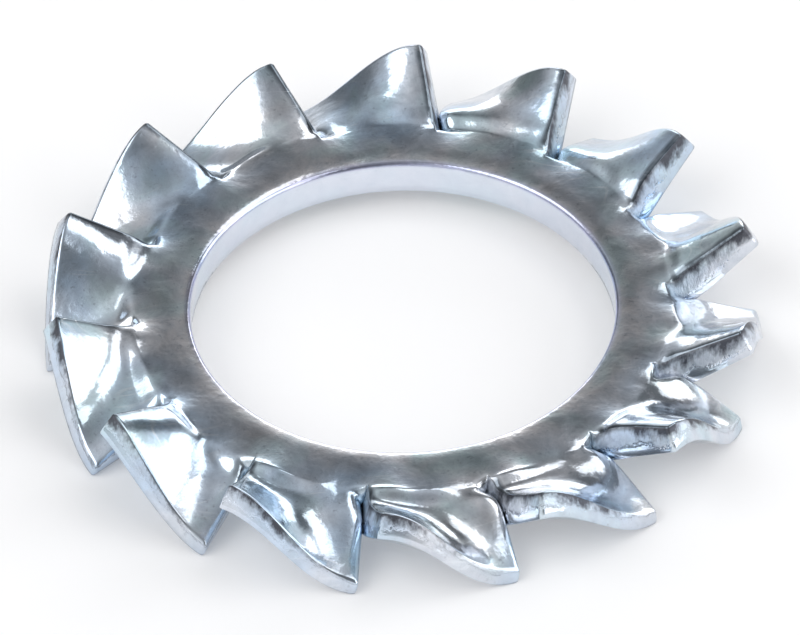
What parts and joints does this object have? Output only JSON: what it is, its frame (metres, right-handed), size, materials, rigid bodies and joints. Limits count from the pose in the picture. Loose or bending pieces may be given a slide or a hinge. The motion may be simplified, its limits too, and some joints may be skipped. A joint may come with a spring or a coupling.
{
  "type": "toothed lock washer",
  "caption": "Flat spring-steel ring, bright zinc plated, whose slit outer rim forms twisted teeth that bite into the nut above and the work below.",
  "frame": {"origin": "on the bore axis, at the height of the surface that the low corners of the teeth stand on", "axes": "+Z along the bore axis, up from the work to the nut; +X through the root of one slit"},
  "size_m": [0.0144, 0.0142, 0.002],
  "materials": {
    "lock_washer": "bright blue-white zinc plate on spring steel, mirror-like with faint mottling"
  },
  "bodies": {
    "root": {"lock_washer": "lock_washer"}
  },
  "joints": []
}
